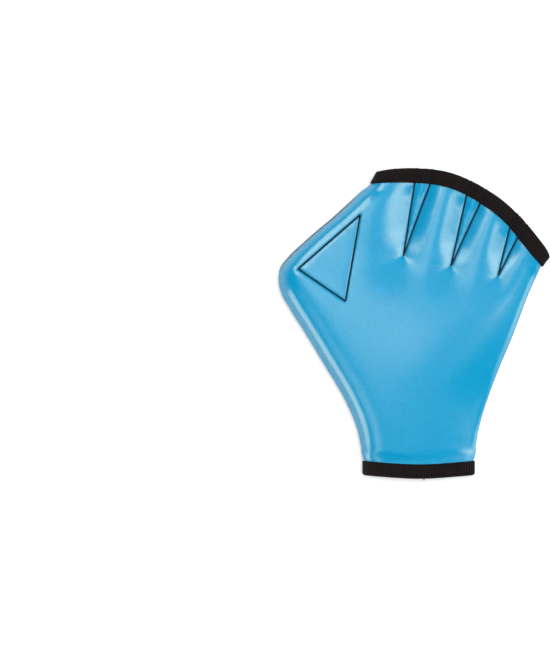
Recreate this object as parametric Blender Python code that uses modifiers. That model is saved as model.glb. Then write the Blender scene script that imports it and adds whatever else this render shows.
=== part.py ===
"""Webbed swim glove for a right hand, lying on its palm with the blue back up.

Two neoprene panels meet at a seam along both sides. Stitched lines pinch them together
into three finger webs and a thumb web, which leaves four finger channels and a thumb
pocket. One folded tape binds the finger mouth and another binds the wrist.
Metres, +Z up, fingers along +Y, thumb towards -X.
"""

import math

import bpy
import numpy as np
from mathutils import Vector
from mathutils.geometry import delaunay_2d_cdt

MM = 0.001

# Overall sizes of the glove seen from above, over its tapes
GLOVE_LENGTH = 222.0 * MM
GLOVE_WIDTH = 195.0 * MM
WRIST_WIDTH = 81.0 * MM
HEM_SAG = 2.4 * MM

# Walls, tapes and the small gaps between pieces
PANEL_WALL = 2.2 * MM
TAPE_WALL = 1.0 * MM
FINGER_TAPE_WIDTH = 10.4 * MM
WRIST_TAPE_WIDTH = 10.0 * MM
TAPE_TURN_IN = 6.0 * MM
TAPE_CLEARANCE = 0.4 * MM
SEAM_GAP = 0.3 * MM
STITCH_GAP = 0.5 * MM
TAPE_STACK = TAPE_CLEARANCE + TAPE_WALL

# How the glove fills out and how it lies
SEAM_HEIGHT = 6.5 * MM
RIM_FACE = 1.2 * MM
EDGE_RADIUS = 4.5 * MM
BACK_RISE = 14.0 * MM
PALM_RISE = 9.5 * MM
FILL_REACH = 14.0 * MM
WEB_FILL = 0.4
MOUTH_DRAW = 0.22
TAPE_RAMP = 9.0 * MM
FLAT_BLEND = 1.5 * MM
TAPE_LIFT = 0.1 * MM
SEAM_BLEND = 3  # the power by which nearby seams add up
FOLD_SQUARENESS = 0.8  # of a tape's fold, 0 for a sharp crease and 1 for a square one

# Spacing of the faceted surface
RIM_STEP = 9.0 * MM
STATION_STEP = 7.5 * MM
STITCH_STEP = 8.0 * MM
FIELD_STEP = 12.0 * MM
SHOULDER = 2.2 * MM
RING_DEPTHS = (0.0, 0.13, 0.5, 1.15)  # shares of EDGE_RADIUS, from the rim inwards
STITCH_ROOM = 0.8  # of SHOULDER, kept free round the points beside a stitched line
FIELD_ROOM = 0.6  # of FIELD_STEP, kept free round the points of the field
TINY = 0.002 * MM

# The wrist's centre, as a share of GLOVE_WIDTH from the thumb bulge
WRIST_CENTRE = 0.516

# The side outlines, from the hem up. Out is the share of the way from the wrist's edge to
# the widest place on that side, up is a share of GLOVE_LENGTH.
THUMB_SIDE = (
    # out, up
    (0.000, 0.070),
    (0.015, 0.100),
    (0.060, 0.157),
    (0.143, 0.2155),
    (0.251, 0.274),
    (0.442, 0.360),
    (0.681, 0.467),
    (0.872, 0.549),
    (0.957, 0.590),
    (1.000, 0.638),
    (0.978, 0.681),
    (0.886, 0.714),
    (0.673, 0.769),
    (0.341, 0.846),
    (0.129, 0.898),
    (0.010, 0.928),
)
LITTLE_SIDE = (
    # out, up
    (0.000, 0.070),
    (0.013, 0.107),
    (0.040, 0.1475),
    (0.090, 0.196),
    (0.167, 0.2545),
    (0.300, 0.342),
    (0.500, 0.459),
    (0.715, 0.596),
)

# The edge of the finger mouth, from the thumb's side to the little finger's. Across is a
# share of GLOVE_WIDTH from the thumb bulge, up is a share of GLOVE_LENGTH.
MOUTH_EDGE = (
    # across, up
    (0.3605, 0.9900),
    (0.4306, 0.9970),
    (0.5080, 0.9995),
    (0.6004, 0.9915),
    (0.6742, 0.9720),
    (0.7590, 0.9342),
    (0.8255, 0.8937),
    (0.8919, 0.8402),
    (0.9509, 0.7773),
    (0.9841, 0.7391),
    (1.0000, 0.7147),
)

# How the finger tape runs into the glove: its lean from straight down towards the thumb, in
# degrees, and its reach as a share of its width. Along is a share of the mouth's length.
TAPE_RUN = (
    # along, lean, reach
    (0.000, 29.5, 0.95),
    (0.198, 11.0, 1.00),
    (0.270, 9.0, 1.00),
    (0.468, 20.0, 1.00),
    (0.550, 25.0, 1.03),
    (0.738, 28.0, 1.06),
    (0.812, 38.0, 1.10),
    (0.930, 38.0, 1.10),
    (1.000, 37.0, 0.88),
)

# Each finger web is a V: its point as shares of GLOVE_WIDTH and GLOVE_LENGTH, and where
# its two lines reach the mouth as shares of the mouth's length.
FINGER_WEBS = (
    # across, up, first line, second line
    (0.4594, 0.7186, 0.198, 0.270),
    (0.6340, 0.6853, 0.468, 0.550),
    (0.8077, 0.6541, 0.738, 0.812),
)

# The corners of the thumb web, a triangle between the thumb and the index finger
THUMB_WEB = (
    # across, up
    (0.3000, 0.8500),
    (0.0720, 0.6760),
    (0.2450, 0.5715),
)

# Name, linear red, green and blue, and roughness
BACK_CLOTH = ("blue_nylon_neoprene", (0.012, 0.36, 0.66), 0.55)
PALM_CLOTH = ("grey_knit_neoprene", (0.050, 0.052, 0.058), 0.75)
FINGER_TAPE = ("black_finger_tape", (0.012, 0.011, 0.013), 0.7)
WRIST_TAPE = ("black_wrist_tape", (0.010, 0.009, 0.011), 0.7)


def steps(path):
    """Distance along a path to each of its points."""
    return np.concatenate([[0.0], np.cumsum(np.linalg.norm(np.diff(path, axis=0), axis=1))])


def places(path, distances):
    """The points at these distances along a path."""
    along = steps(path)
    return np.stack([np.interp(distances, along, path[:, k]) for k in (0, 1)], axis=1)


def divide(length, step):
    """Evenly spaced distances from 0 to a length, at most a step apart."""
    return np.linspace(0, length, math.ceil(length / step) + 1)


def unit(vectors):
    return vectors / np.linalg.norm(vectors, axis=1)[:, None]


def smooth_path(knots, pieces=12):
    """A smooth curve through the knots, as a fine path."""
    knots = np.array(knots)
    gaps = np.linalg.norm(np.diff(knots, axis=0), axis=1)[:, None]
    slopes = np.diff(knots, axis=0) / gaps
    inner = (slopes[:-1] * gaps[1:] + slopes[1:] * gaps[:-1]) / (gaps[:-1] + gaps[1:])
    tangents = np.concatenate([slopes[:1], inner, slopes[-1:]])
    t = np.linspace(0, 1, pieces, endpoint=False)[:, None]
    rise = t * t * (3 - 2 * t)
    runs = [
        knots[i] * (1 - rise)
        + knots[i + 1] * rise
        + tangents[i] * gap * t * (1 - t) ** 2
        - tangents[i + 1] * gap * t * t * (1 - t)
        for i, gap in enumerate(gaps[:, 0])
    ]
    return np.concatenate([*runs, knots[-1:]])


def distance_to(points, path):
    """Distance from each point to the nearest place on a path."""
    start, run = path[:-1], np.diff(path, axis=0)
    away = points[:, None, :] - start
    along = np.clip((away * run).sum(axis=2) / (run * run).sum(axis=1), 0, 1)
    return np.linalg.norm(away - along[..., None] * run, axis=2).min(axis=1)


def inside(points, loop):
    """True for each point inside a closed loop."""
    a, b = loop, np.roll(loop, -1, axis=0)
    x, y = points[:, :1], points[:, 1:]
    crosses = (a[:, 1] > y) != (b[:, 1] > y)
    rise = np.where(a[:, 1] == b[:, 1], 1.0, b[:, 1] - a[:, 1])
    reach = a[:, 0] + (y - a[:, 1]) / rise * (b[:, 0] - a[:, 0])
    return (crosses & (x < reach)).sum(axis=1) % 2 == 1


def ramp(value):
    """0 below 0, 1 above 1, and smooth between."""
    share = np.clip(value, 0, 1)
    return share * share * (3 - 2 * share)


def on_glove(across, up):
    return np.array([across * GLOVE_WIDTH, up * GLOVE_LENGTH])


class Pattern:
    """The glove's flat pattern seen from above: outlines, tapes and stitched lines."""

    def __init__(self):
        self.mouth = smooth_path([on_glove(*row) for row in MOUTH_EDGE])
        self.mouth_length = steps(self.mouth)[-1]
        centre = WRIST_CENTRE * GLOVE_WIDTH
        wrist = (centre - WRIST_WIDTH / 2, centre + WRIST_WIDTH / 2)
        self.hem = smooth_path([(wrist[0], HEM_SAG), (centre, 0.0), (wrist[1], HEM_SAG)])
        self.hem_length = steps(self.hem)[-1]
        self.thumb_rim = self.side(THUMB_SIDE, wrist[0], 0.0, TAPE_STACK, TAPE_STACK)
        hem_end = self.hem_length - TAPE_STACK
        mouth_end = self.mouth_length - TAPE_STACK
        self.little_rim = self.side(LITTLE_SIDE, wrist[1], GLOVE_WIDTH, hem_end, mouth_end)
        self.finger_webs = [self.finger_web(*row) for row in FINGER_WEBS]
        self.thumb_web = np.array([on_glove(*row) for row in THUMB_WEB])
        self.stitched = [line for web in self.finger_webs for line in web["lines"]]
        for corner, following in zip(self.thumb_web, np.roll(self.thumb_web, -1, axis=0)):
            self.stitched.append(np.array([corner, following]))

    def side(self, rows, wrist, widest, hem_end, mouth_end):
        """A panel's side: up under the wrist tape, round the hand and under the finger tape."""
        knots = [(wrist + out * (widest - wrist), up * GLOVE_LENGTH) for out, up in rows]
        hem_end, mouth_end = np.array([hem_end]), np.array([mouth_end])
        hem = self.under_hem(hem_end, TAPE_STACK)[0]
        cuff = self.under_hem(hem_end, WRIST_TAPE_WIDTH)[0]
        foot = self.under_mouth(mouth_end, FINGER_TAPE_WIDTH)[0]
        corner = self.under_mouth(mouth_end, TAPE_STACK)[0]
        return np.concatenate([[hem], smooth_path([cuff, *knots, foot]), [corner]])

    def under_mouth(self, distances, depth):
        """Places at a depth into the glove from the finger mouth's edge."""
        along, leans, reaches = np.array(TAPE_RUN).T
        lean = np.radians(np.interp(distances / self.mouth_length, along, leans))
        reach = np.interp(distances / self.mouth_length, along, reaches)
        run = TAPE_STACK + (depth - TAPE_STACK) * reach
        way = np.stack([-np.sin(lean), -np.cos(lean)], axis=1)
        return places(self.mouth, distances) + way * run[:, None]

    def under_hem(self, distances, depth):
        """Places at a depth up the cuff from the hem's edge."""
        return places(self.hem, distances) + np.array([0.0, depth])

    def finger_web(self, across, up, first, second):
        """A V between two fingers: its stitched lines, and a loop round all that it holds."""
        point = on_glove(across, up)
        ends = np.array([first, second]) * self.mouth_length
        foot = self.under_mouth(ends, FINGER_TAPE_WIDTH)
        edge = self.under_mouth(ends, TAPE_STACK)
        beyond = self.under_mouth(ends, -FINGER_TAPE_WIDTH)
        lines = [np.array([point, foot[k], edge[k]]) for k in (0, 1)]
        loop = np.array([point, foot[0], beyond[0], beyond[1], foot[1]])
        return {"ends": ends, "lines": lines, "loop": loop}

    def fill(self, points):
        """How far the glove is filled out: 0 on a seam, towards 1 far from every seam."""
        seams = [self.thumb_rim, self.little_rim, *self.stitched]
        gaps = [np.maximum(distance_to(points, seam), TINY) for seam in seams]
        clear = sum(gap**-SEAM_BLEND for gap in gaps) ** (-1 / SEAM_BLEND)
        share = 1 - np.exp(-clear / FILL_REACH)
        webs = [web["loop"] for web in self.finger_webs] + [self.thumb_web]
        held = np.any([inside(points, loop) for loop in webs], axis=0)
        share = np.where(held, share * WEB_FILL, share)
        return share * (1 - MOUTH_DRAW * self.near_tape(points))

    def near_tape(self, points):
        """1 under either tape, falling to 0 a short way into the glove."""
        beyond = np.minimum(
            distance_to(points, self.mouth) - FINGER_TAPE_WIDTH,
            distance_to(points, self.hem) - WRIST_TAPE_WIDTH,
        )
        return ramp(1 - beyond / TAPE_RAMP)

    def heights(self, points):
        """The back's and the palm's outer skin, as heights off the side seam's plane."""
        tape = self.near_tape(points)
        fill = self.fill(points)
        closed = STITCH_GAP / 2 + PANEL_WALL + TAPE_STACK * tape
        back = closed + BACK_RISE * fill
        palm = closed + PALM_RISE * fill
        table = SEAM_HEIGHT - (TAPE_STACK + TAPE_LIFT) * tape
        blend = np.maximum(FLAT_BLEND - np.abs(palm - table), 0)
        palm = np.minimum(palm, table) - blend * blend / FLAT_BLEND / 4
        rim = np.minimum(*[distance_to(points, r) for r in (self.thumb_rim, self.little_rim)])
        rounding = np.sqrt(1 - (1 - np.minimum(rim / EDGE_RADIUS, 1)) ** 2)
        return [RIM_FACE + (outer - RIM_FACE) * rounding for outer in (back, palm)]


def stations(length, extra):
    """Distances along a bound edge: close together at both rims and at each extra one."""
    near = [TAPE_STACK + share * EDGE_RADIUS for share in RING_DEPTHS]
    fixed = sorted([*near, *extra, *(length - distance for distance in near)])
    found = [fixed[:1]]
    for start, end in zip(fixed[:-1], fixed[1:]):
        found.append(start + divide(end - start, STATION_STEP)[1:])
    return np.concatenate(found)


class Plan:
    """The flat pattern's points and fixed edges, and the triangles between them."""

    def __init__(self, pattern):
        self.pattern = pattern
        self.points = []
        self.edges = []
        beside_webs = []
        for web in pattern.finger_webs:
            first, second = web["ends"]
            beside_webs += [first - SHOULDER, first, (first + second) / 2]
            beside_webs += [second, second + SHOULDER]
        across = stations(pattern.mouth_length, beside_webs)
        depths = (TAPE_STACK, TAPE_TURN_IN, FINGER_TAPE_WIDTH)
        self.mouth_rows = [self.line(pattern.under_mouth(across, depth)) for depth in depths]
        across = stations(pattern.hem_length, [])
        depths = (TAPE_STACK, TAPE_TURN_IN, WRIST_TAPE_WIDTH)
        self.hem_rows = [self.line(pattern.under_hem(across, depth)) for depth in depths]
        self.rims = [
            self.side(pattern.thumb_rim, 0, 1.0),
            self.side(pattern.little_rim, -1, -1.0),
        ]
        for line in pattern.stitched:
            self.stitch(line)
        self.fill_field()
        self.triangulate()

    def line(self, path):
        """Adds a path and its fixed edges, and gives its points' numbers."""
        start = len(self.points)
        self.points.extend(map(tuple, path))
        self.edges.extend((start + k, start + k + 1) for k in range(len(path) - 1))
        return list(range(start, start + len(path)))

    def side(self, rim, end, inward_sign):
        """Adds a side's outline and the rings of points inside it, from hem to mouth."""
        cuff = [row[end] for row in self.hem_rows]
        mouth = [row[end] for row in self.mouth_rows]
        run = rim[1:-1]
        along = divide(steps(run)[-1], RIM_STEP)
        chain = [*cuff, *self.line(places(run, along)), *mouth[::-1]]
        for pair in (cuff[:2], cuff[1:], mouth[:2], mouth[1:]):
            self.edges.append(tuple(pair))
        ahead = places(run, along + TINY) - places(run, along - TINY)
        inward = unit(np.stack([ahead[:, 1], -ahead[:, 0]], axis=1)) * inward_sign
        for depth in RING_DEPTHS[1:]:
            ring = places(run, along) + inward * depth * EDGE_RADIUS
            self.points.extend(map(tuple, ring[1:-1]))
        return chain

    def stitch(self, line):
        """Adds a stitched line, and points along both of its shoulders."""
        run = places(line[:2], divide(steps(line[:2])[-1], STITCH_STEP))
        self.line(run)
        if len(line) > 2:
            self.line(line[1:])
        x, y = unit(line[1:2] - line[:1])[0]
        for side in (-SHOULDER, SHOULDER):
            self.scatter(run[1:-1] + side * np.array([-y, x]), STITCH_ROOM * SHOULDER)

    def fill_field(self):
        """Adds a field of points wherever nothing else is near."""
        row_step = FIELD_STEP * math.sqrt(3) / 2
        field = [
            ((column + row % 2 / 2) * FIELD_STEP, row * row_step)
            for row in range(math.ceil(GLOVE_LENGTH / row_step))
            for column in range(math.ceil(GLOVE_WIDTH / FIELD_STEP))
        ]
        self.scatter(np.array(field), FIELD_ROOM * FIELD_STEP)

    def scatter(self, more, apart):
        """Adds those points that lie well inside the glove and apart from all the others."""
        pattern = self.pattern
        outline = [pattern.hem, pattern.little_rim, pattern.mouth[::-1], pattern.thumb_rim[::-1]]
        outline = np.concatenate(outline)
        more = more[inside(more, outline)]
        for point in more[distance_to(more, outline) > TAPE_STACK + EDGE_RADIUS]:
            if np.linalg.norm(np.array(self.points) - point, axis=1).min() > apart:
                self.points.append(tuple(point))

    def triangulate(self):
        scaled = [Vector(point) / MM for point in self.points]
        flat, _, faces, origins, _, _ = delaunay_2d_cdt(scaled, self.edges, [], 1, TINY / MM)
        self.flat = np.array([point[:] for point in flat]) * MM
        self.faces = [tuple(face) for face in faces]
        number = {old: new for new, group in enumerate(origins) for old in group}
        self.mouth_rows = [[number[k] for k in row] for row in self.mouth_rows]
        self.hem_rows = [[number[k] for k in row] for row in self.hem_rows]
        self.rims = [list(dict.fromkeys(number[k] for k in chain)) for chain in self.rims]


class Skin:
    """A panel's outer surface: the filled-out pattern and an upright face down to the seam."""

    def __init__(self, plan, heights, up):
        points = [(x, y, up * z) for (x, y), z in zip(plan.flat, heights)]
        faces = list(plan.faces)
        self.seam = {}
        for chain, outward in zip(plan.rims, (1, -1)):
            for k in chain:
                self.seam[k] = len(points)
                points.append((*plan.flat[k], up * SEAM_GAP / 2))
            for a, b in zip(chain[:-1], chain[1:]):
                faces.append((a, b, self.seam[b], self.seam[a])[::outward])
        self.mesh = bpy.data.meshes.new("skin")
        self.mesh.from_pydata(points, [], [face[:: int(up)] for face in faces])
        self.points = np.array(points)
        self.normals = np.array([v.vector for v in self.mesh.vertex_normals])


def material(name, colour, roughness):
    found = bpy.data.materials.get(name) or bpy.data.materials.new(name)
    found.use_nodes = True
    shader = found.node_tree.nodes["Principled BSDF"]
    shader.inputs["Base Color"].default_value = (*colour, 1.0)
    shader.inputs["Roughness"].default_value = roughness
    return found


def walled(name, mesh, wall, offset, cloth, collection):
    """A sheet given its wall, inwards at an offset of -1 and outwards at 1."""
    mesh.name = name
    sheet = bpy.data.objects.new(name, mesh)
    collection.objects.link(sheet)
    mesh.materials.append(material(*cloth))
    mesh.shade_smooth()
    thicken = sheet.modifiers.new("wall", "SOLIDIFY")
    thicken.thickness = wall
    thicken.offset = offset
    return sheet


def round_loop(back, palm, row):
    """A row of skin points all round the glove, over the back and under the palm."""

    def joined(values):
        first, last = [
            (values(back)[back.seam[k]] + values(palm)[palm.seam[k]]) / 2
            for k in (row[0], row[-1])
        ]
        return np.array([*values(back)[row], last, *values(palm)[row[::-1]], first])

    return joined(lambda skin: skin.points), unit(joined(lambda skin: skin.normals))


def binding(name, back, palm, rows, cloth, collection):
    """A tape folded over a panel edge: an outer flap, a fold and an inner flap."""
    (edge, edge_out), (turn, turn_out), (foot, foot_out) = [
        round_loop(back, palm, row) for row in rows
    ]
    into = unit(turn - edge)
    middle = edge - edge_out * PANEL_WALL / 2
    fold = FOLD_SQUARENESS * (PANEL_WALL / 2 + TAPE_CLEARANCE)
    far_side = PANEL_WALL + TAPE_CLEARANCE
    strips = [
        foot + foot_out * TAPE_CLEARANCE,
        turn + turn_out * TAPE_CLEARANCE,
        edge + edge_out * TAPE_CLEARANCE,
        middle + edge_out * fold - into * TAPE_CLEARANCE,
        middle - edge_out * fold - into * TAPE_CLEARANCE,
        edge - edge_out * far_side,
        turn - turn_out * far_side,
    ]
    count = len(edge)
    faces = [
        (r * count + a, r * count + b, (r + 1) * count + b, (r + 1) * count + a)
        for r in range(len(strips) - 1)
        for a, b in zip(range(count), [*range(1, count), 0])
    ]
    mesh = bpy.data.meshes.new(name)
    mesh.from_pydata(np.concatenate(strips).tolist(), [], faces)
    return walled(name, mesh, TAPE_WALL, 1.0, cloth, collection)


def rest_on_table(pieces):
    """Puts the bottom centre of the box round all the pieces at the origin."""
    bpy.context.view_layer.update()
    graph = bpy.context.evaluated_depsgraph_get()
    corners = []
    for piece in pieces:
        mesh = piece.evaluated_get(graph).to_mesh()
        corners.extend(vertex.co.copy() for vertex in mesh.vertices)
    low = Vector(map(min, zip(*corners)))
    high = Vector(map(max, zip(*corners)))
    for piece in pieces:
        piece.location = (-(low.x + high.x) / 2, -(low.y + high.y) / 2, -low.z)


def main():
    for thing in list(bpy.data.objects):
        bpy.data.objects.remove(thing)
    glove = bpy.data.collections.new("webbed_swim_glove")
    bpy.context.scene.collection.children.link(glove)
    pattern = Pattern()
    plan = Plan(pattern)
    back_heights, palm_heights = pattern.heights(plan.flat)
    back = Skin(plan, back_heights, 1.0)
    palm = Skin(plan, palm_heights, -1.0)
    hem_rows = [row[::-1] for row in plan.hem_rows]
    pieces = [
        walled("back_panel", back.mesh, PANEL_WALL, -1.0, BACK_CLOTH, glove),
        walled("palm_panel", palm.mesh, PANEL_WALL, -1.0, PALM_CLOTH, glove),
        binding("finger_binding", back, palm, plan.mouth_rows, FINGER_TAPE, glove),
        binding("wrist_binding", back, palm, hem_rows, WRIST_TAPE, glove),
    ]
    rest_on_table(pieces)


main()
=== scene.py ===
"""The webbed swim glove as it looks: cloth panels, folded tapes, stitched webs, floor and light.

The glove lies on its palm with its blue back up, fingers along +Y and thumb towards -X.
Its flat pattern repeats the frame's own sizes, in metres, and each panel is drawn on it
finely enough to hold the creases and puckers that the stitching pulls into the cloth.
"""

import math

import bpy
import numpy as np
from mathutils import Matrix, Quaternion, Vector
from mathutils.geometry import delaunay_2d_cdt


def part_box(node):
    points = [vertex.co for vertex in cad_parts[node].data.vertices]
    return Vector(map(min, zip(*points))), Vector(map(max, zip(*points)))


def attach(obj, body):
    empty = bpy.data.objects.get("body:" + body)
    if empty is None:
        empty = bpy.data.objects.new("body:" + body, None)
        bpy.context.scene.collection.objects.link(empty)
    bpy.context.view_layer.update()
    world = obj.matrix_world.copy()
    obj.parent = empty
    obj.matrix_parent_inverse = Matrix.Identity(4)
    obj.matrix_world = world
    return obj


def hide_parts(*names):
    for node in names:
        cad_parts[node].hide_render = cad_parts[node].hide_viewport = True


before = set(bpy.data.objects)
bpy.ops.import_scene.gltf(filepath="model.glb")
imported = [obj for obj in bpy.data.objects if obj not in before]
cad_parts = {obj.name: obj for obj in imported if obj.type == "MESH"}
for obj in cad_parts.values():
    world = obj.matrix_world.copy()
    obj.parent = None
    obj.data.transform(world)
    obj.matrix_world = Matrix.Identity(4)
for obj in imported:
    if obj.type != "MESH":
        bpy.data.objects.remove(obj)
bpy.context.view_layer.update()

MM = 0.001

# The frame's sizes
GLOVE_LENGTH = 222.0 * MM
GLOVE_WIDTH = 195.0 * MM
WRIST_WIDTH = 81.0 * MM
HEM_SAG = 2.4 * MM
PANEL_WALL = 2.2 * MM
FINGER_TAPE_WIDTH = 10.4 * MM
WRIST_TAPE_WIDTH = 10.0 * MM
TAPE_TURN_IN = 6.0 * MM
TAPE_STACK = 1.4 * MM
SEAM_GAP = 0.1 * MM
STITCH_GAP = 0.5 * MM
SEAM_HEIGHT = 6.5 * MM
RIM_FACE = 1.2 * MM
EDGE_RADIUS = 4.5 * MM
PALM_RISE = 9.5 * MM
FILL_REACH = 14.0 * MM
WEB_FILL = 0.4
MOUTH_DRAW = 0.22
TAPE_RAMP = 9.0 * MM
FLAT_BLEND = 1.5 * MM
TAPE_LIFT = 0.1 * MM

# The dressed tape is a little thicker than the frame's and lies closer on the cloth
TAPE_CLEARANCE = 0.12 * MM
TAPE_WALL = 1.2 * MM

# Spacing of the fine surface. A shoulder is a row of points beside a stitched line, and the
# rings follow a side's outline, at depths that are shares of EDGE_RADIUS.
FINENESS = 1.0
RIM_STEP = 2.0 * MM * FINENESS
STATION_STEP = 1.5 * MM * FINENESS
STITCH_STEP = 0.9 * MM * FINENESS
FIELD_STEP = 1.6 * MM * FINENESS
FIELD_CLEARANCE = 0.6 * FIELD_STEP
SHOULDER_CLEARANCE = 0.35 * MM * FINENESS
SHOULDERS = (0.45 * MM, 0.95 * MM, 1.6 * MM, 2.5 * MM)
RING_DEPTHS = (0.0, 0.05, 0.13, 0.25, 0.40, 0.60, 0.85, 1.15)
TAPE_ROWS = 7
TINY = 0.002 * MM

# How the back lies between its seams: how steeply it leaves each, and how high it gets. The
# two web slopes are for the first and the second line of a V.
SEAM_LIFT = 0.3 * MM
LIFT_REACH = 8.0 * MM
THUMB_SLOPE = 1.25
LITTLE_SLOPE = 0.33
WEB_SLOPES = (0.44, 0.62)
CROWN_CAP = 12.0 * MM
CROWN_ROUNDNESS = 2.4
WEB_ROUNDNESS = 4
POINT_LIFT = 2.0 * MM
POINT_REACH = 12.0 * MM
TAPE_DRAW = 0.28
CUFF_FALL = 0.3
CUFF_REACH = 30.0 * MM
QUILT_DEPTH = 0.4 * MM
QUILT_REACH = 5.0 * MM
PINCH_REACH = 6.0 * MM

# What the stitching pulls into the cloth
CREASE_DEPTH = 0.5 * MM
CREASE_WIDTH = 0.85 * MM
PUCKER_PITCH = 6.5 * MM
PUCKER_RISE = 0.03 * MM
PUCKER_REACH = 4.0 * MM

# How far each seam at the rims rolls away from the glove's edge, onto the back by the
# thumb and onto the palm lower down
ROLL_WIDTH = 0.9 * MM
ROLL_BLEND = 12.0 * MM
ROLL_RUNS = (
    # start, end, as shares of the rim from the wrist
    (0.60, 0.93),
    (0.10, 0.55),
)

# Thread, thickness first, then the seams' close zigzag and the tapes' wide one
THREAD = 0.40 * MM
SEAM_ZIGZAG = (1.35 * MM, 0.36 * MM)
TAPE_ZIGZAG = (1.5 * MM, 1.0 * MM)
TOPSTITCH_INSET = 1.9 * MM
GROOVE_BRIDGE = 0.2 * MM
STITCH_ARCH = (
    # along the stitch, height in threads
    (0.0, -0.4),
    (0.2, 0.35),
    (0.5, 0.6),
    (0.8, 0.35),
    (1.0, -0.4),
)
THREAD_SIDES = 5
THREAD_TAPER = 0.6

# The fold of a tape round a panel's edge: how far its nose stands out, as a share of its half
# height, and where round the nose the tape and the thread over it have their points, in degrees
FOLD_ROUNDNESS = 0.55
FOLD_TURNS = (55, 25, 0, -25, -55)
THREAD_TURNS = (15, 30, 45, 60, 75)

# The thread's loose end at the wrist, as a share of the hem, then its way out of the fold
LOOSE_END_PLACE = 0.54
LOOSE_END = (
    # out of the hem, along it, up, in mm
    (1.2, -0.4, 0.1),
    (2.3, -0.4, 0.0),
    (2.9, 0.1, -0.1),
    (2.9, 0.6, -0.1),
    (2.3, 0.8, 0.0),
    (1.9, 0.3, 0.2),
    (2.4, 0.1, 0.3),
)

# The wrist's centre, as a share of GLOVE_WIDTH from the thumb bulge
WRIST_CENTRE = 0.516

# The side outlines, from the hem up. Out is the share of the way from the wrist's edge to
# the widest place on that side, up is a share of GLOVE_LENGTH.
THUMB_SIDE = (
    # out, up
    (0.000, 0.070),
    (0.015, 0.100),
    (0.060, 0.157),
    (0.143, 0.2155),
    (0.251, 0.274),
    (0.442, 0.360),
    (0.681, 0.467),
    (0.872, 0.549),
    (0.957, 0.590),
    (1.000, 0.638),
    (0.978, 0.681),
    (0.886, 0.714),
    (0.673, 0.769),
    (0.341, 0.846),
    (0.129, 0.898),
    (0.010, 0.928),
)
LITTLE_SIDE = (
    # out, up
    (0.000, 0.070),
    (0.013, 0.107),
    (0.040, 0.1475),
    (0.090, 0.196),
    (0.167, 0.2545),
    (0.300, 0.342),
    (0.500, 0.459),
    (0.715, 0.596),
)

# The edge of the finger mouth, from the thumb's side to the little finger's. Across is a
# share of GLOVE_WIDTH from the thumb bulge, up is a share of GLOVE_LENGTH.
MOUTH_EDGE = (
    # across, up
    (0.3605, 0.9900),
    (0.4306, 0.9970),
    (0.5080, 0.9995),
    (0.6004, 0.9915),
    (0.6742, 0.9720),
    (0.7590, 0.9342),
    (0.8255, 0.8937),
    (0.8919, 0.8402),
    (0.9509, 0.7773),
    (0.9841, 0.7391),
    (1.0000, 0.7147),
)

# How the finger tape runs into the glove: its lean from straight down towards the thumb, in
# degrees, and its reach as a share of its width. Along is a share of the mouth's length.
TAPE_RUN = (
    # along, lean, reach
    (0.000, 29.5, 0.95),
    (0.198, 11.0, 1.00),
    (0.270, 9.0, 1.00),
    (0.468, 20.0, 1.00),
    (0.550, 25.0, 1.03),
    (0.738, 28.0, 1.06),
    (0.812, 38.0, 1.10),
    (0.930, 38.0, 1.10),
    (1.000, 37.0, 0.88),
)

# Each finger web is a V: its point as shares of GLOVE_WIDTH and GLOVE_LENGTH, and where
# its two lines reach the mouth as shares of the mouth's length.
FINGER_WEBS = (
    # across, up, first line, second line
    (0.4594, 0.7186, 0.198, 0.270),
    (0.6340, 0.6853, 0.468, 0.550),
    (0.8077, 0.6541, 0.738, 0.812),
)

# The corners of the thumb web, a triangle of stitched lines
THUMB_WEB = (
    # across, up
    (0.3000, 0.8500),
    (0.0720, 0.6760),
    (0.2450, 0.5715),
)

# Broad swells and hollows of the back. Across and up are shares of GLOVE_WIDTH and
# GLOVE_LENGTH, the reach and the rise are in millimetres.
SWELLS = (
    # across, up, reach, rise
    (0.21, 0.74, 24, -2.0),
    (0.54, 0.38, 32, 1.2),
    (0.75, 0.25, 24, -2.0),
)


def steps(path):
    """Distance along a path to each of its points."""
    return np.concatenate([[0.0], np.cumsum(np.linalg.norm(np.diff(path, axis=0), axis=1))])


def places(path, distances):
    """The points at these distances along a path."""
    along = steps(path)
    return np.stack([np.interp(distances, along, path[:, k]) for k in (0, 1)], axis=1)


def divide(length, step):
    """Evenly spaced distances from 0 to a length, at most a step apart."""
    return np.linspace(0, length, math.ceil(length / step) + 1)


def unit(vectors):
    return vectors / np.linalg.norm(vectors, axis=1)[:, None]


def smooth_path(knots, pieces=12):
    """A smooth curve through the knots, as a fine path."""
    knots = np.array(knots)
    gaps = np.linalg.norm(np.diff(knots, axis=0), axis=1)[:, None]
    slopes = np.diff(knots, axis=0) / gaps
    inner = (slopes[:-1] * gaps[1:] + slopes[1:] * gaps[:-1]) / (gaps[:-1] + gaps[1:])
    tangents = np.concatenate([slopes[:1], inner, slopes[-1:]])
    t = np.linspace(0, 1, pieces, endpoint=False)[:, None]
    rise = t * t * (3 - 2 * t)
    runs = [
        knots[i] * (1 - rise)
        + knots[i + 1] * rise
        + tangents[i] * gap * t * (1 - t) ** 2
        - tangents[i + 1] * gap * t * t * (1 - t)
        for i, gap in enumerate(gaps[:, 0])
    ]
    return np.concatenate([*runs, knots[-1:]])


def nearest_on(points, path):
    """Distance from each point to a path, and how far along the path that place is."""
    start, run = path[:-1], np.diff(path, axis=0)
    length = np.linalg.norm(run, axis=1)
    from_start = steps(path)[:-1]
    gap = np.full(len(points), np.inf)
    along = np.zeros(len(points))
    for k in range(len(run)):
        away = points - start[k]
        share = np.clip(away @ run[k] / length[k] ** 2, 0, 1)
        here = np.linalg.norm(away - share[:, None] * run[k], axis=1)
        closer = here < gap
        gap[closer] = here[closer]
        along[closer] = from_start[k] + share[closer] * length[k]
    return gap, along


def distance_to(points, path):
    return nearest_on(points, path)[0]


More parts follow.
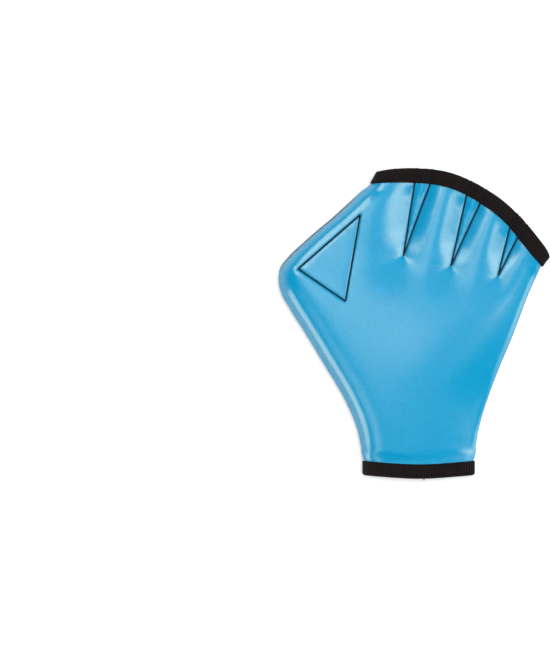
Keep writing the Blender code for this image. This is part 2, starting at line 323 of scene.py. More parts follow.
def inside(points, loop):
    """True for each point inside a closed loop."""
    found = np.zeros(len(points), bool)
    x, y = points.T
    for a, b in zip(loop, np.roll(loop, -1, axis=0)):
        crosses = (a[1] > y) != (b[1] > y)
        rise = b[1] - a[1] if b[1] != a[1] else 1.0
        found ^= crosses & (x < a[0] + (y - a[1]) / rise * (b[0] - a[0]))
    return found


def ramp(value):
    """0 below 0, 1 above 1, and smooth between."""
    share = np.clip(value, 0, 1)
    return share * share * (3 - 2 * share)


def on_glove(across, up):
    return np.array([across * GLOVE_WIDTH, up * GLOVE_LENGTH])


class Pattern:
    """The glove's flat pattern seen from above: outlines, tapes and stitched lines."""

    def __init__(self):
        self.mouth = smooth_path([on_glove(*row) for row in MOUTH_EDGE])
        self.mouth_length = steps(self.mouth)[-1]
        centre = WRIST_CENTRE * GLOVE_WIDTH
        wrist = (centre - WRIST_WIDTH / 2, centre + WRIST_WIDTH / 2)
        self.hem = smooth_path([(wrist[0], HEM_SAG), (centre, 0.0), (wrist[1], HEM_SAG)])
        self.hem_length = steps(self.hem)[-1]
        self.thumb_rim = self.side(THUMB_SIDE, wrist[0], 0.0, TAPE_STACK, TAPE_STACK)
        hem_end = self.hem_length - TAPE_STACK
        mouth_end = self.mouth_length - TAPE_STACK
        self.little_rim = self.side(LITTLE_SIDE, wrist[1], GLOVE_WIDTH, hem_end, mouth_end)
        self.finger_webs = [self.finger_web(*row) for row in FINGER_WEBS]
        self.thumb_web = np.array([on_glove(*row) for row in THUMB_WEB])
        self.stitched = [line for web in self.finger_webs for line in web["lines"]]
        for corner, following in zip(self.thumb_web, np.roll(self.thumb_web, -1, axis=0)):
            self.stitched.append(np.array([corner, following]))

    def side(self, rows, wrist, widest, hem_end, mouth_end):
        """A panel's side: up under the wrist tape, round the hand and under the finger tape."""
        knots = [(wrist + out * (widest - wrist), up * GLOVE_LENGTH) for out, up in rows]
        hem_end, mouth_end = np.array([hem_end]), np.array([mouth_end])
        hem = self.under_hem(hem_end, TAPE_STACK)[0]
        cuff = self.under_hem(hem_end, WRIST_TAPE_WIDTH)[0]
        foot = self.under_mouth(mouth_end, FINGER_TAPE_WIDTH)[0]
        corner = self.under_mouth(mouth_end, TAPE_STACK)[0]
        return np.concatenate([[hem], smooth_path([cuff, *knots, foot]), [corner]])

    def under_mouth(self, distances, depth):
        """Places at a depth into the glove from the finger mouth's edge."""
        along, leans, reaches = np.array(TAPE_RUN).T
        lean = np.radians(np.interp(distances / self.mouth_length, along, leans))
        reach = np.interp(distances / self.mouth_length, along, reaches)
        run = TAPE_STACK + (depth - TAPE_STACK) * reach
        way = np.stack([-np.sin(lean), -np.cos(lean)], axis=1)
        return places(self.mouth, distances) + way * run[:, None]

    def under_hem(self, distances, depth):
        """Places at a depth up the cuff from the hem's edge."""
        return places(self.hem, distances) + np.array([0.0, depth])

    def finger_web(self, across, up, first, second):
        """A V between two fingers: its stitched lines, and a loop round all that it holds."""
        point = on_glove(across, up)
        ends = np.array([first, second]) * self.mouth_length
        foot = self.under_mouth(ends, FINGER_TAPE_WIDTH)
        edge = self.under_mouth(ends, TAPE_STACK)
        beyond = self.under_mouth(ends, -FINGER_TAPE_WIDTH)
        lines = [np.array([point, foot[k], edge[k]]) for k in (0, 1)]
        loop = np.array([point, foot[0], beyond[0], beyond[1], foot[1]])
        return {"ends": ends, "lines": lines, "loop": loop}

    def fill(self, points):
        """How far the glove is filled out: 0 on a seam, towards 1 far from every seam."""
        seams = [self.thumb_rim, self.little_rim, *self.stitched]
        near = sum(np.maximum(distance_to(points, seam), TINY) ** -3 for seam in seams)
        share = 1 - np.exp(-(near ** (-1 / 3)) / FILL_REACH)
        webs = [web["loop"] for web in self.finger_webs] + [self.thumb_web]
        held = np.any([inside(points, loop) for loop in webs], axis=0)
        share = np.where(held, share * WEB_FILL, share)
        return share * (1 - MOUTH_DRAW * self.near_tape(points))

    def near_tape(self, points):
        """1 under either tape, falling to 0 a short way into the glove."""
        beyond = np.minimum(
            distance_to(points, self.mouth) - FINGER_TAPE_WIDTH,
            distance_to(points, self.hem) - WRIST_TAPE_WIDTH,
        )
        return ramp(1 - beyond / TAPE_RAMP)

    def stitch_relief(self, points):
        """The stitched lines' groove and puckers as a height, and a mask for painted shade."""
        relief = np.zeros(len(points))
        crease_and_shade = np.zeros(len(points))
        for line in self.stitched:
            gap, along = nearest_on(points, line)
            groove = np.exp(-((gap / CREASE_WIDTH) ** 2))
            crease_and_shade = np.maximum(crease_and_shade, groove)
            wave = np.cos(along / PUCKER_PITCH * 2 * math.pi)
            relief += PUCKER_RISE * wave * (1 - groove) * np.exp(-gap / PUCKER_REACH)
        return relief - CREASE_DEPTH * crease_and_shade, crease_and_shade

    def crown(self, points):
        """The back's two parts over its closed seams: the broad swells less the dip along
        the thumb web, and the rise that is round like a pillow between any two seams."""
        rims = [distance_to(points, rim) for rim in (self.thumb_rim, self.little_rim)]
        ceilings = [THUMB_SLOPE * rims[0], LITTLE_SLOPE * rims[1]]
        for web in self.finger_webs:
            lines = [np.maximum(distance_to(points, line), TINY) for line in web["lines"]]
            slopes = [slope * gap for slope, gap in zip(WEB_SLOPES, lines)]
            near = sum(rise**-WEB_ROUNDNESS for rise in slopes) ** (-1 / WEB_ROUNDNESS)
            from_point = np.linalg.norm(points - web["loop"][0], axis=1)
            easing = POINT_LIFT * np.exp(-((from_point / POINT_REACH) ** 2))
            ceilings.append(near + easing)
        held = sum(np.maximum(ceiling, TINY) ** -CROWN_ROUNDNESS for ceiling in ceilings)
        clear = (held + CROWN_CAP**-CROWN_ROUNDNESS) ** (-1 / CROWN_ROUNDNESS)
        hem = distance_to(points, self.hem)
        clear *= 1 - CUFF_FALL * np.exp(-((hem / CUFF_REACH) ** 2))
        quilt = [distance_to(points, line) for line in self.stitched[-3:]]
        quilt = QUILT_DEPTH * np.exp(-np.minimum.reduce(quilt) / QUILT_REACH)
        swell = np.full(len(points), SEAM_LIFT)
        for across, up, reach, rise in SWELLS:
            away = (points - on_glove(across, up)) / (reach * MM)
            swell += rise * MM * np.exp(-(away**2).sum(axis=1))
        edge = 1 - np.exp(-np.minimum(*rims) / LIFT_REACH)
        return swell * edge - quilt, clear

    def roll(self, points):
        """How each point near a rim moves in as the seam rolls over: a shift and its sign."""
        shift = np.zeros((len(points), 2))
        rolled = np.zeros(len(points))
        for rim, inward_sign in ((self.thumb_rim, 1.0), (self.little_rim, -1.0)):
            gap, along = nearest_on(points, rim)
            ahead = places(rim, along + TINY) - places(rim, along - TINY)
            inward = unit(np.stack([ahead[:, 1], -ahead[:, 0]], axis=1)) * inward_sign
            onto_back, onto_palm = [
                ramp((along - start * steps(rim)[-1]) / ROLL_BLEND)
                * ramp((end * steps(rim)[-1] - along) / ROLL_BLEND)
                for start, end in ROLL_RUNS
            ]
            if inward_sign < 0:
                onto_back = onto_back * 0
            sign = onto_back - onto_palm
            near = np.clip(1 - gap / EDGE_RADIUS, 0, 1)
            shift += inward * (near * ROLL_WIDTH * np.abs(sign))[:, None]
            rolled += np.where(near > 0, sign, 0)
        return shift, rolled

    def heights(self, points):
        """The back's and palm's outer skin off the seam's plane, and a mask for painted shade."""
        tape = self.near_tape(points)
        fill = self.fill(points)
        relief, crease_and_shade = self.stitch_relief(points)
        relief = relief * (1 - tape)
        closed = STITCH_GAP / 2 + PANEL_WALL + TAPE_STACK * tape
        lift, rise = self.crown(points)
        lift = lift * (1 - tape)
        back = closed + lift + rise * (1 - TAPE_DRAW * tape) + relief
        pinch = np.minimum.reduce([distance_to(points, line) for line in self.stitched])
        palm = closed + PALM_RISE * fill + relief - lift * np.exp(-((pinch / PINCH_REACH) ** 2))
        table = SEAM_HEIGHT - (TAPE_STACK + TAPE_LIFT) * tape
        blend = np.maximum(FLAT_BLEND - np.abs(palm - table), 0)
        palm = np.minimum(palm, table) - blend * blend / FLAT_BLEND / 4
        rim = np.minimum(*[distance_to(points, r) for r in (self.thumb_rim, self.little_rim)])
        rounding = np.sqrt(1 - (1 - np.minimum(rim / EDGE_RADIUS, 1)) ** 2)
        back, palm = [RIM_FACE + (outer - RIM_FACE) * rounding for outer in (back, palm)]
        return back, palm, crease_and_shade


def stations(length, extra):
    """Distances along a bound edge: close together at both rims and at each extra one."""
    near = [TAPE_STACK + share * EDGE_RADIUS for share in RING_DEPTHS]
    fixed = sorted([*near, *extra, *(length - distance for distance in near)])
    found = [fixed[:1]]
    for start, end in zip(fixed[:-1], fixed[1:]):
        found.append(start + divide(end - start, STATION_STEP)[1:])
    return np.concatenate(found)


class Plan:
    """The flat pattern's points and fixed edges, and the triangles between them."""

    def __init__(self, pattern):
        self.pattern = pattern
        self.points = []
        self.edges = []
        at_webs = [end for web in pattern.finger_webs for end in web["ends"]]
        across = stations(pattern.mouth_length, at_webs)
        depths = self.tape_depths(FINGER_TAPE_WIDTH)
        self.mouth_rows = [self.line(pattern.under_mouth(across, depth)) for depth in depths]
        across = stations(pattern.hem_length, [])
        depths = self.tape_depths(WRIST_TAPE_WIDTH)
        self.hem_rows = [self.line(pattern.under_hem(across, depth)) for depth in depths]
        self.rims = [
            self.side(pattern.thumb_rim, 0, 1.0),
            self.side(pattern.little_rim, -1, -1.0),
        ]
        for line in pattern.stitched:
            self.stitch(line)
        self.fill_field()
        self.triangulate()

    def tape_depths(self, width):
        """Depths of the rows under a tape, from the panel's cut edge to the tape's foot."""
        return np.linspace(TAPE_STACK, width, TAPE_ROWS)

    def line(self, path):
        """Adds a path and its fixed edges, and gives its points' numbers."""
        start = len(self.points)
        self.points.extend(map(tuple, path))
        self.edges.extend((start + k, start + k + 1) for k in range(len(path) - 1))
        return list(range(start, start + len(path)))

    def side(self, rim, end, inward_sign):
        """Adds a side's outline and the rings of points inside it, from hem to mouth."""
        cuff = [row[end] for row in self.hem_rows]
        mouth = [row[end] for row in self.mouth_rows]
        run = rim[1:-1]
        along = divide(steps(run)[-1], RIM_STEP)
        chain = [*cuff, *self.line(places(run, along)), *mouth[::-1]]
        for chained in (cuff, mouth):
            self.edges.extend(zip(chained[:-1], chained[1:]))
        ahead = places(run, along + TINY) - places(run, along - TINY)
        inward = unit(np.stack([ahead[:, 1], -ahead[:, 0]], axis=1)) * inward_sign
        for depth in RING_DEPTHS[1:]:
            ring = places(run, along) + inward * depth * EDGE_RADIUS
            self.points.extend(map(tuple, ring[1:-1]))
        return chain

    def stitch(self, line):
        """Adds a stitched line, and rows of points along both of its shoulders."""
        run = places(line[:2], divide(steps(line[:2])[-1], STITCH_STEP))
        self.line(run)
        if len(line) > 2:
            self.line(line[1:])
        x, y = unit(line[1:2] - line[:1])[0]
        for shoulder in SHOULDERS:
            for side in (-shoulder, shoulder):
                self.scatter(run[1:-1] + side * np.array([-y, x]), SHOULDER_CLEARANCE)

    def fill_field(self):
        """Adds a field of points wherever nothing else is near."""
        row_step = FIELD_STEP * math.sqrt(3) / 2
        field = [
            ((column + row % 2 / 2) * FIELD_STEP, row * row_step)
            for row in range(math.ceil(GLOVE_LENGTH / row_step))
            for column in range(math.ceil(GLOVE_WIDTH / FIELD_STEP))
        ]
        self.scatter(np.array(field), FIELD_CLEARANCE)

    def scatter(self, more, apart):
        """Adds those points that lie well inside the glove and apart from all the others."""
        pattern = self.pattern
        outline = [pattern.hem, pattern.little_rim, pattern.mouth[::-1], pattern.thumb_rim[::-1]]
        outline = np.concatenate(outline)
        more = more[inside(more, outline)]
        more = more[distance_to(more, outline) > TAPE_STACK + EDGE_RADIUS]
        placed = np.array(self.points)
        cells = {}
        for point in placed:
            cells.setdefault(tuple((point // apart).astype(int)), []).append(point)
        around = [(i, j) for i in (-1, 0, 1) for j in (-1, 0, 1)]
        for point in more:
            x, y = (point // apart).astype(int)
            near = [other for i, j in around for other in cells.get((x + i, y + j), ())]
            if all(math.dist(point, other) > apart for other in near):
                self.points.append(tuple(point))

    def triangulate(self):
        scaled = [Vector(point) / MM for point in self.points]
        flat, _, faces, origins, _, _ = delaunay_2d_cdt(scaled, self.edges, [], 1, TINY / MM)
        self.flat = np.array([point[:] for point in flat]) * MM
        self.faces = [tuple(face) for face in faces]
        number = {old: new for new, group in enumerate(origins) for old in group}
        self.mouth_rows = [[number[k] for k in row] for row in self.mouth_rows]
        self.hem_rows = [[number[k] for k in row] for row in self.hem_rows]
        self.rims = [list(dict.fromkeys(number[k] for k in chain)) for chain in self.rims]


class Skin:
    """A panel's outer surface: the filled-out pattern and an upright face down to the seam."""

    def __init__(self, plan, heights, crease_and_shade, up, origin):
        shift, rolled = plan.pattern.roll(plan.flat)
        at_seam = plan.flat + shift
        flat = np.where((rolled * up > 0)[:, None], at_seam, plan.flat)
        points = [(x, y, up * z) for (x, y), z in zip(flat, heights)]
        faces = list(plan.faces)
        self.seam = {}
        for chain, outward in zip(plan.rims, (1, -1)):
            for k in chain:
                self.seam[k] = len(points)
                seam_height = rolled[k] * (RIM_FACE - SEAM_GAP)
                points.append((*at_seam[k], seam_height + up * SEAM_GAP / 2))
            for a, b in zip(chain[:-1], chain[1:]):
                faces.append((a, b, self.seam[b], self.seam[a])[::outward])
        self.points = np.array(points) + origin
        self.mesh = bpy.data.meshes.new("skin")
        self.mesh.from_pydata(self.points.tolist(), [], [face[:: int(up)] for face in faces])
        self.normals = np.array([v.vector for v in self.mesh.vertex_normals])
        # The grooves' mask, by which the materials paint shade into the stitched grooves
        shade = self.mesh.attributes.new("crease_and_shade", "FLOAT", "POINT")
        shade.data.foreach_set("value", [*crease_and_shade, *[0.0] * (len(points) - len(crease_and_shade))])


class Value:
    """A shader socket that takes part in Python expressions."""

    def __init__(self, finish, socket):
        self.finish = finish
        self.socket = socket

    def maths(self, operation, *operands):
        return self.finish.add("ShaderNodeMath", {"operation": operation}, list(operands))

    def __add__(self, other):
        return self.maths("ADD", self, other)

    __radd__ = __add__

    def __mul__(self, other):
        return self.maths("MULTIPLY", self, other)

    __rmul__ = __mul__

    def __sub__(self, other):
        return self.maths("SUBTRACT", self, other)

    def __rsub__(self, other):
        return self.maths("SUBTRACT", other, self)

    def __pow__(self, other):
        return self.maths("POWER", self, other)

    def sin(self):
        return self.maths("SINE", self)


class Finish:
    """A material under construction."""

    def __init__(self, name):
        self.material = bpy.data.materials.new(name)
        self.material.use_nodes = True
        self.nodes = self.material.node_tree.nodes
        self.links = self.material.node_tree.links
        self.shader = self.nodes["Principled BSDF"]

    def add(self, kind, settings=None, inputs=None, output=0):
        """Adds a node with its settings and its sockets' values or links."""
        node = self.nodes.new(kind)
        for name, value in (settings or {}).items():
            setattr(node, name, value)
        pairs = enumerate(inputs) if isinstance(inputs, list) else (inputs or {}).items()
        for name, value in pairs:
            self.plug(node.inputs[name], value)
        return Value(self, node.outputs[output])

    def plug(self, socket, value):
        if isinstance(value, Value):
            self.links.new(value.socket, socket)
        else:
            socket.default_value = value

    def mix(self, factor, first, second):
        """A colour between two colours."""
        inputs = {"Factor": factor, 6: first, 7: second}
        return self.add("ShaderNodeMix", {"data_type": "RGBA"}, inputs, 2)

    def part(self, vector, axis):
        return self.add("ShaderNodeSeparateXYZ", None, [vector], "XYZ".index(axis))

    def noise(self, vector, scale, detail=2.0):
        inputs = {"Vector": vector, "Scale": scale, "Detail": detail}
        return self.add("ShaderNodeTexNoise", None, inputs)

    def ribs(self, vector, axis, pitch):
        """A wave from -1 to 1 along an axis."""
        return (self.part(vector, axis) * (2 * math.pi / pitch)).sin()

    def place(self):
        """The place on the glove in millimetres."""
        here = self.add("ShaderNodeTexCoord", None, None, "Object")
        scaled = {0: here, "Scale": 1 / MM}
        return self.add("ShaderNodeVectorMath", {"operation": "SCALE"}, scaled)

    def crease_and_shade(self):
        """1 in a stitched groove, 0 away from it: where shade is painted."""
        return self.add("ShaderNodeAttribute", {"attribute_name": "crease_and_shade"}, None, "Fac")

    def paint_crease_shade(self, colour, crease_and_shade, shade):
        """A colour with shade painted into the stitched grooves."""
        return self.mix((crease_and_shade**CREASE_SHADE_EDGE) * CREASE_SHADE_DARKNESS, colour, shade)

    def surface(self, colour, roughness, relief, relief_distance, **fixed):
        """Joins up the shader: what changes over the surface, then its fixed values."""
        self.plug(self.shader.inputs["Base Color"], colour)
        self.plug(self.shader.inputs["Roughness"], roughness)
        bump = self.add("ShaderNodeBump", None, {"Height": relief, "Distance": relief_distance})
        self.plug(self.shader.inputs["Normal"], bump)
        for name, value in fixed.items():
            self.plug(self.shader.inputs[name.replace("_", " ")], value)
        return self.material


# How sharply and how much shade is painted into the colour in a stitched groove
CREASE_SHADE_EDGE = 1.5
CREASE_SHADE_DARKNESS = 0.85


def blue_jersey():
    """Bright blue nylon jersey on neoprene: fine wales, faint mottling and fine specks."""
    finish = Finish("blue_jersey")
    place = finish.place()
    wale = finish.ribs(place, "X", 0.62)
    course = finish.ribs(place, "Y", 0.48)
    cloud = finish.noise(place, 0.16, 3.0)
    grain = finish.noise(place, 1.6)
    crease_and_shade = finish.crease_and_shade()
    speck = finish.noise(place, 1.1, 1.0)
    tone = cloud * 0.4 + (speck - 0.5) * 2.2 + 0.3
    blue = finish.mix(tone, (0.001, 0.25, 0.46, 1), (0.002, 0.33, 0.60, 1))
    # Shade painted into the stitched grooves, in near-black blue
    colour = finish.paint_crease_shade(blue, crease_and_shade, (0.0, 0.012, 0.03, 1))
    relief = wale * course * 0.2 + grain * 0.5
    roughness = 0.17 + grain * 0.05 + crease_and_shade * 0.3
    return finish.surface(colour, roughness, relief, 0.022 * MM, Specular_IOR_Level=0.7)


def grey_knit():
    """Charcoal knit with fine ribs along the hand, for grip."""
    finish = Finish("grey_knit")
    place = finish.place()
    rib = finish.ribs(place, "X", 1.5)
    course = finish.ribs(place, "Y", 1.1)
    cloud = finish.noise(place, 0.12, 3.0)
    grain = finish.noise(place, 1.8)
    crease_and_shade = finish.crease_and_shade()
    grey = finish.mix(cloud, (0.030, 0.031, 0.035, 1), (0.052, 0.053, 0.058, 1))
    # Shade painted into the stitched grooves, in near black
    colour = finish.paint_crease_shade(grey, crease_and_shade, (0.004, 0.004, 0.005, 1))
    relief = rib * 0.5 + course * 0.18 + grain * 0.5
    roughness = 0.55 + grain * 0.15 + crease_and_shade * 0.2
    fixed = {"Specular_IOR_Level": 0.5, "Sheen_Weight": 0.15, "Sheen_Roughness": 0.5}
    return finish.surface(colour, roughness, relief, 0.14 * MM, **fixed)


def black_lining():
    """The panels' plain black inner face."""
    finish = Finish("black_lining")
    grain = finish.noise(finish.place(), 1.4)
    black = finish.mix(grain, (0.010, 0.010, 0.012, 1), (0.022, 0.022, 0.026, 1))
    return finish.surface(black, 0.8 + grain * 0.1, grain, 0.1 * MM, Sheen_Weight=0.1)


def black_tape():
    """Woven binding tape: fine cross ribs and a close lengthwise weave."""
    finish = Finish("black_tape")
    along_tape = finish.add("ShaderNodeUVMap", {"uv_map": "tape"})
    rib = finish.ribs(along_tape, "X", 1.8)
    weave = finish.ribs(along_tape, "Y", 0.7)
    grain = finish.noise(finish.place(), 1.2, 3.0)
    tint = (grain - 0.5) * 1.6 + rib * 0.4 + 0.5
    black = finish.mix(tint, (0.001, 0.0008, 0.001, 1), (0.016, 0.011, 0.013, 1))
    relief = rib * 0.45 + weave * 0.2 + grain * 0.5
    roughness = 0.6 + grain * 0.12
    return finish.surface(black, roughness, relief, 0.14 * MM, Specular_IOR_Level=0.08)


def black_thread():
    """Polyester sewing thread."""
    finish = Finish("black_thread")
    grain = finish.noise(finish.place(), 5.0)
    black = finish.mix(grain, (0.003, 0.004, 0.006, 1), (0.012, 0.013, 0.016, 1))
    return finish.surface(black, 0.5 + grain * 0.1, grain, 0.05 * MM, Specular_IOR_Level=0.1)


def link(name, data, *materials):
    thing = bpy.data.objects.new(name, data)
    bpy.context.scene.collection.objects.link(thing)
    for material in materials:
        data.materials.append(material)
    return thing


def thicken(sheet, wall, offset, inner_material=0):
    """Gives a sheet its wall, inwards at an offset of -1 and outwards at 1."""
    sheet.data.shade_smooth()
    wall_maker = sheet.modifiers.new("wall", "SOLIDIFY")
    wall_maker.thickness = wall
    wall_maker.offset = offset
    wall_maker.material_offset = inner_material
    wall_maker.material_offset_rim = inner_material


def round_loop(back, palm, row):
    """A row of skin points all round the glove, over the back and under the palm."""

    def joined(values):
        first, last = [
            (values(back)[back.seam[k]] + values(palm)[palm.seam[k]]) / 2
            for k in (row[0], row[-1])
        ]
        return np.array([*values(back)[row], last, *values(palm)[row[::-1]], first])

    return joined(lambda skin: skin.points), unit(joined(lambda skin: skin.normals))


def binding(name, back, palm, rows, width, material):
    """A tape folded over a panel edge: an outer flap, a round fold and an inner flap."""
    loops = [round_loop(back, palm, row) for row in rows]
    edge, edge_out = loops[0]
    into = unit(loops[1][0] - edge)
    middle = edge - edge_out * PANEL_WALL / 2
    half = PANEL_WALL / 2 + TAPE_CLEARANCE
    strips = [points + out * TAPE_CLEARANCE for points, out in loops[::-1]]
    for turn in np.radians(FOLD_TURNS):
        nose = edge_out * half * math.sin(turn) - into * (half * FOLD_ROUNDNESS * math.cos(turn))
        strips.append(middle + nose)
    for k, (points, out) in enumerate(loops):
        if k / (len(rows) - 1) * width < TAPE_TURN_IN:
            strips.append(points - out * (PANEL_WALL + TAPE_CLEARANCE))
    count = len(edge)
    faces = [
        (r * count + a, r * count + b, (r + 1) * count + b, (r + 1) * count + a)
        for r in range(len(strips) - 1)
        for a, b in zip(range(count), [*range(1, count), 0])
    ]
    mesh = bpy.data.meshes.new(name)
    mesh.from_pydata(np.concatenate(strips).tolist(), [], faces)
    round_way = steps(np.concatenate([edge, edge[:1]])) / MM
    gaps = [np.linalg.norm(b - a, axis=1).mean() for a, b in zip(strips[:-1], strips[1:])]
    across = np.concatenate([[0.0], np.cumsum(gaps)]) / MM
    layer = mesh.uv_layers.new(name="tape")
    corners = []
    for r in range(len(strips) - 1):
        for a in range(count):
            corners += [
                (round_way[a], across[r]),
                (round_way[a + 1], across[r]),
                (round_way[a + 1], across[r + 1]),
                (round_way[a], across[r + 1]),
            ]
    layer.data.foreach_set("uv", np.array(corners).ravel())
    tape = link(name, mesh, material)
    thicken(tape, TAPE_WALL, 1.0)
    return tape


def seam_route(pattern, line, panel):
    """The way of a stitched line over a panel, then up its tape and round the fold."""
    along = divide(steps(line)[-1], SEAM_ZIGZAG[1])
    flat = places(line, along)
    high = pattern.heights(flat)[panel] + GROOVE_BRIDGE
    if len(line) > 2:
        above = TAPE_CLEARANCE + TAPE_WALL
        high = high + ramp((along - steps(line)[1]) / above + 0.5) * above
        half = PANEL_WALL / 2 + TAPE_CLEARANCE
        turn = np.radians(THREAD_TURNS)
        reach = half * FOLD_ROUNDNESS + TAPE_WALL
        beyond = unit(line[-1:] - line[-2:-1]) * np.sin(turn)[:, None] * reach
        flat = np.concatenate([flat, line[-1] + beyond])
        high = np.append(high, high[-1] - (half + TAPE_WALL) * (1 - np.cos(turn)))
    return np.column_stack([flat, high])


def tape_route(pattern, places_under, length, width, panel):
    """The way of a tape's topstitching, a little inside its inner edge."""
    distances = divide(length - 2 * EDGE_RADIUS, TAPE_ZIGZAG[1]) + EDGE_RADIUS
    flat = places_under(distances, width - TOPSTITCH_INSET)
    high = pattern.heights(flat)[panel] + TAPE_CLEARANCE + TAPE_WALL
    return np.column_stack([flat, high])


def zigzag(route, width, pitch):
    """Short arched stitches from side to side along a route."""
    along = steps(route)
    spots = divide(along[-1], pitch)
    centre = np.stack([np.interp(spots, along, route[:, k]) for k in range(3)], axis=1)
    ahead = unit(np.gradient(centre, axis=0))
    flat = unit(np.gradient(centre[:, :2], axis=0))
    aside = np.column_stack([-flat[:, 1], flat[:, 0], np.zeros(len(flat))])
    out = np.cross(ahead, aside)
    side = np.where(np.arange(len(spots)) % 2 == 0, 1.0, -1.0)[:, None] * width / 2
    ends = centre + aside * side
    return [
        [a + (b - a) * share + up * THREAD * rise for share, rise in STITCH_ARCH]
        for a, b, up in zip(ends[:-1], ends[1:], out[:-1])
    ]


def stitching(name, strands, origin, up, thread):
    """Joins many short threads into one piece, mirrored downwards where up is -1."""
    points, faces = [], []
    turns = np.linspace(0, 2 * math.pi, THREAD_SIDES, endpoint=False)
    for strand in strands:
        strand = np.array(strand)
        ahead = unit(np.gradient(strand, axis=0))
        across = unit(np.cross(ahead, np.array([0.0, 0.0, 1.0])))
        over = np.cross(across, ahead)
        radius = np.full(len(strand), THREAD / 2)
        radius[[0, -1]] *= THREAD_TAPER
        first = len(points)
        for here, a, b, r in zip(strand, across, over, radius):
            points.extend(here + (a * math.cos(t) + b * math.sin(t)) * r for t in turns)
        for ring in range(len(strand) - 1):
            base = first + ring * THREAD_SIDES
            for k in range(THREAD_SIDES):
                near, far = base + k, base + (k + 1) % THREAD_SIDES
                faces.append((near, far, far + THREAD_SIDES, near + THREAD_SIDES))
        last = len(points) - THREAD_SIDES
        faces.append(tuple(range(first + THREAD_SIDES - 1, first - 1, -1)))
        faces.append(tuple(range(last, last + THREAD_SIDES)))
    points = np.array(points) * np.array([1.0, 1.0, up]) + origin
    mesh = bpy.data.meshes.new(name)
    mesh.from_pydata(points.tolist(), [], [face[:: int(-up)] for face in faces])
    mesh.shade_smooth()
    return link(name, mesh, thread)


def loose_end(pattern):
    """The end of the wrist tape's thread, left hanging out of the fold."""
    root = pattern.under_hem(np.array([LOOSE_END_PLACE * pattern.hem_length]), TAPE_STACK)
    middle = pattern.heights(root)[0] - PANEL_WALL / 2
    return [
        (root[0, 0] + aside * MM, root[0, 1] - out * MM, middle[0] + rise * MM)
        for out, aside, rise in LOOSE_END
    ]


def sew(pattern, origin):
    """Every seam's and every tape's thread: pieces with the slots that they belong to."""
    thread = black_thread()
    tapes = (
        ("finger_tape", pattern.under_mouth, pattern.mouth_length, FINGER_TAPE_WIDTH),
        ("wrist_tape", pattern.under_hem, pattern.hem_length, WRIST_TAPE_WIDTH),
    )
    sewn = []
    for panel, (side, up) in enumerate((("back", 1.0), ("palm", -1.0))):
        routes = [seam_route(pattern, line, panel) for line in pattern.stitched]
        strands = [strand for route in routes for strand in zigzag(route, *SEAM_ZIGZAG)]
        seams = stitching(f"{side}_seam_thread", strands, origin, up, thread)
        sewn.append((seams, f"{side}_panel"))
        for tape, places_under, length, width in tapes:
            route = tape_route(pattern, places_under, length, width, panel)
            strands = zigzag(route, *TAPE_ZIGZAG)
            if (side, tape) == ("back", "wrist_tape"):
                strands.append(loose_end(pattern))
            name = f"{tape}_{side}_thread"
            topstitch = stitching(name, strands, origin, up, thread)
            sewn.append((topstitch, tape.replace("tape", "binding")))
    return sewn


def main():
    pattern = Pattern()
    plan = Plan(pattern)
    back_heights, palm_heights, crease_and_shade = pattern.heights(plan.flat)
    low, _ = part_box("back_panel")
    floor_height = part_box("palm_panel")[0].z
    origin = np.array([low.x, low.y - TAPE_STACK, floor_height + SEAM_HEIGHT])
    back = Skin(plan, back_heights, crease_and_shade, 1.0, origin)
    palm = Skin(plan, palm_heights, crease_and_shade, -1.0, origin)
    lining = black_lining()
    tape_cloth = black_tape()
    back_cloth = link("back_cloth", back.mesh, blue_jersey(), lining)
    palm_cloth = link("palm_cloth", palm.mesh, grey_knit(), lining)
    for cloth in (back_cloth, palm_cloth):
        thicken(cloth, PANEL_WALL, -1.0, 1)
    hem_rows = [row[::-1] for row in plan.hem_rows]
    finger_tape = binding(
        "finger_tape", back, palm, plan.mouth_rows, FINGER_TAPE_WIDTH, tape_cloth
    )
    wrist_tape = binding("wrist_tape", back, palm, hem_rows, WRIST_TAPE_WIDTH, tape_cloth)
    for piece, node in (
        (back_cloth, "back_panel"),
        (palm_cloth, "palm_panel"),
        (finger_tape, "finger_binding"),
        (wrist_tape, "wrist_binding"),
    ):
        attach(piece, "root")
        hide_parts(node)
    for piece, slot in sew(pattern, origin):
        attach(piece, "root")


main()


# Floor, light and camera

FLOOR_SIZE = 6.0
FLOOR_DROP = 0.2 * MM
FLOOR_COLOR = (0.86, 0.86, 0.86, 1)
FLOOR_ROUGHNESS = 0.9
FLOOR_GLOW = 0.3
WHITE = (1, 1, 1, 1)

# The softboxes, in metres, degrees and watts. Each is turned about its beam, and the ones
# that only shine are warm and show in reflections alone.
GLOVE = (0.0, 0.0, 0.01)
SHINE_COLOR = (1.0, 0.90, 0.58)
SOFTBOXES = (
    # name, place, aim, size, turn, power, shines only
    ("fill_light", (0.3, 0.2, 2.4), GLOVE, (2.0, 2.0), 0, 85, False),
    ("top_shine", (-0.06, 0.20, 1.2), (-0.06, 0.20, 0.0), (0.38, 0.50), 37, 1.3, True),
    ("right_shine", (0.78, 0.11, 0.91), GLOVE, (0.34, 0.54), 0, 4.0, True),
    ("left_shine", (-0.62, -0.39, 0.17), GLOVE, (0.4, 0.40), 0, 2.4, True),
    ("left_glow", (-0.38, -0.35, 0.74), GLOVE, (0.2, 0.5), 0, 0.8, True),
    ("thumb_shine", (-0.35, 0.46, 0.69), GLOVE, (0.22, 0.6), 0, 2.9, True),
    ("low_shine", (0.68, -0.07, 0.31), GLOVE, (0.4, 0.26), 0, 1.6, True),
)

# The studio's brightness: even near the horizon, then falling towards overhead. A height is
# the upward part of the way looked, from 0 at the horizon to 1 overhead.
HORIZON_HEIGHT, HORIZON_GLOW = 0.05, 0.9
OVERHEAD_HEIGHT, OVERHEAD_GLOW = 0.5, 0.01


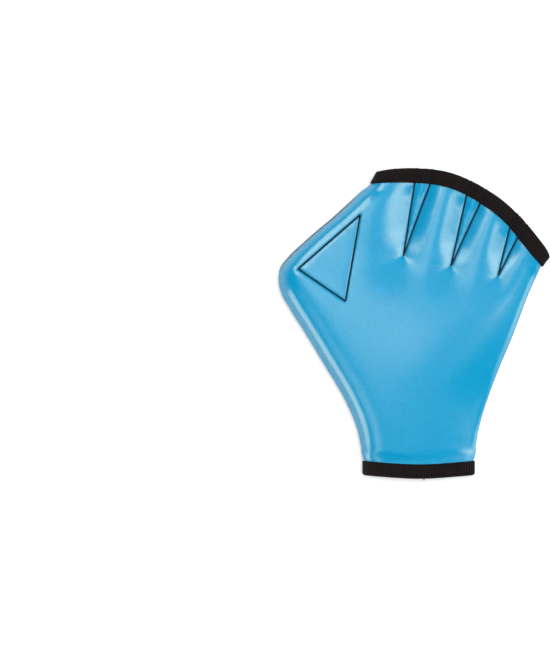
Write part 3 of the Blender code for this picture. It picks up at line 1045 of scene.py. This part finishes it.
def stage():
    """A pale floor just under the glove."""
    bpy.ops.mesh.primitive_plane_add(size=FLOOR_SIZE, location=(0, 0, -FLOOR_DROP))
    floor = bpy.context.object
    floor.name = "floor"
    finish = Finish("pale_floor")
    for name, value in (
        ("Base Color", FLOOR_COLOR),
        ("Roughness", FLOOR_ROUGHNESS),
        ("Emission Color", WHITE),
        ("Emission Strength", FLOOR_GLOW),
    ):
        finish.plug(finish.shader.inputs[name], value)
    floor.data.materials.append(finish.material)


def softbox(name, place, aim, size, turn, power, shine_only):
    """A rectangular area light."""
    light = bpy.data.lights.new(name, "AREA")
    light.shape = "RECTANGLE"
    light.size, light.size_y = size
    light.energy = power
    light.color = SHINE_COLOR if shine_only else WHITE[:3]
    lamp = bpy.data.objects.new(name, light)
    bpy.context.scene.collection.objects.link(lamp)
    lamp.location = place
    beam = (Vector(aim) - Vector(place)).to_track_quat("-Z", "Y")
    lamp.rotation_euler = (beam @ Quaternion((0, 0, 1), math.radians(turn))).to_euler()
    lamp.visible_camera = False
    lamp.visible_diffuse = not shine_only
    lamp.visible_glossy = shine_only


def studio():
    """The surroundings, which are brightest near the horizon."""
    world = bpy.data.worlds.new("studio")
    bpy.context.scene.world = world
    world.use_nodes = True
    nodes, links = world.node_tree.nodes, world.node_tree.links
    way = nodes.new("ShaderNodeTexCoord")
    split = nodes.new("ShaderNodeSeparateXYZ")
    glow = nodes.new("ShaderNodeMapRange")
    glow.interpolation_type = "SMOOTHSTEP"
    for name, value in (
        ("From Min", HORIZON_HEIGHT),
        ("From Max", OVERHEAD_HEIGHT),
        ("To Min", HORIZON_GLOW),
        ("To Max", OVERHEAD_GLOW),
    ):
        glow.inputs[name].default_value = value
    links.new(way.outputs["Generated"], split.inputs[0])
    links.new(split.outputs["Z"], glow.inputs["Value"])
    links.new(glow.outputs["Result"], nodes["Background"].inputs["Strength"])
    nodes["Background"].inputs["Color"].default_value = WHITE


def camera():
    """Straight above, moved aside so that the glove lies where the photo has it."""
    photo_width, photo_height = 550, 651
    pixel = 0.72 * MM
    glove_centre = (413.75, 323.25)
    distance = 3.0
    lens = bpy.data.cameras.new("camera")
    lens.sensor_fit = "HORIZONTAL"
    lens.sensor_width = 36.0
    lens.lens = lens.sensor_width * distance / (photo_width * pixel)
    lens.clip_end = 20.0
    eye = bpy.data.objects.new("camera", lens)
    bpy.context.scene.collection.objects.link(eye)
    aside = (photo_width / 2 - glove_centre[0]) * pixel
    along = (glove_centre[1] - photo_height / 2) * pixel
    eye.location = (aside, along, distance)
    bpy.context.scene.camera = eye


stage()
for row in SOFTBOXES:
    softbox(*row)
studio()
camera()
bpy.context.scene.view_settings.view_transform = "Standard"
